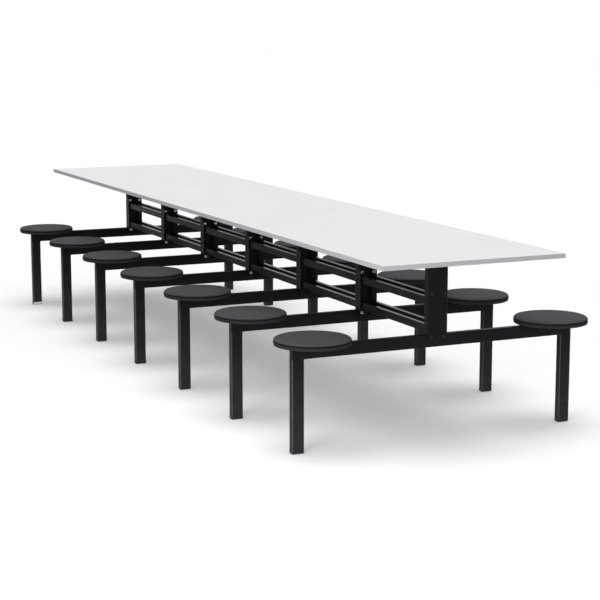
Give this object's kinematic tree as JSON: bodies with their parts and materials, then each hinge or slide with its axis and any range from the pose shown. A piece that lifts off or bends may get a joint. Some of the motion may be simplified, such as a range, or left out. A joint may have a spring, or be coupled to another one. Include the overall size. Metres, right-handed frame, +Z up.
{
  "type": "cafeteria table",
  "caption": "Long canteen table with fixed round seats: pale board on a row of black tube frames with centre posts tied by twin rails.",
  "frame": {"origin": "on the floor under the middle of the board", "axes": "+X along the board towards the frame with the plugged holes, +Y across it, +Z up"},
  "size_m": [4.2, 1.3682, 0.75],
  "materials": {
    "board_core": "raw fibreboard",
    "table_top": "fine matt laminate, pale grey white",
    "table_underside": "matt backing laminate",
    "table_edge": "satin light grey edge band",
    "frame_black": "black fine-texture powder coat, satin",
    "seat_plastic": "dark grey moulded plastic with a fine grain",
    "foot_plastic": "black moulded plastic",
    "bolt_zinc": "bright zinc plate",
    "plug_plastic": "glossy black plastic"
  },
  "bodies": {
    "root": {"top_core_board": "board_core", "top_laminate": "table_top", "under_laminate": "table_underside", "edge_bands": "table_edge", "cross_beam_1": "frame_black", "post_1": "frame_black", "leg_left_1": "frame_black", "seat_left_1": "seat_plastic", "leg_right_1": "frame_black", "seat_right_1": "seat_plastic", "cross_beam_2": "frame_black", "post_2": "frame_black", "leg_left_2": "frame_black", "seat_left_2": "seat_plastic", "leg_right_2": "frame_black", "seat_right_2": "seat_plastic", "cross_beam_3": "frame_black", "post_3": "frame_black", "leg_left_3": "frame_black", "seat_left_3": "seat_plastic", "leg_right_3": "frame_black", "seat_right_3": "seat_plastic", "cross_beam_4": "frame_black", "post_4": "frame_black", "leg_left_4": "frame_black", "seat_left_4": "seat_plastic", "leg_right_4": "frame_black", "seat_right_4": "seat_plastic", "cross_beam_5": "frame_black", "post_5": "frame_black", "leg_left_5": "frame_black", "seat_left_5": "seat_plastic", "leg_right_5": "frame_black", "seat_right_5": "seat_plastic", "cross_beam_6": "frame_black", "post_6": "frame_black", "leg_left_6": "frame_black", "seat_left_6": "seat_plastic", "leg_right_6": "frame_black", "seat_right_6": "seat_plastic", "cross_beam_7": "frame_black", "post_7": "frame_black", "leg_left_7": "frame_black", "seat_left_7": "seat_plastic", "leg_right_7": "frame_black", "seat_right_7": "seat_plastic", "rail_set_1": "frame_black", "rail_set_2": "frame_black", "rail_set_3": "frame_black", "rail_set_4": "frame_black", "rail_set_5": "frame_black", "rail_set_6": "frame_black", "rail_end_angles": "frame_black", "top_arms": "frame_black", "seat_plates": "frame_black", "foot_caps": "foot_plastic", "frame_bolts": "bolt_zinc", "weld_nuts": "bolt_zinc", "mounting_screws": "bolt_zinc", "hole_plugs": "plug_plastic"}
  },
  "joints": []
}
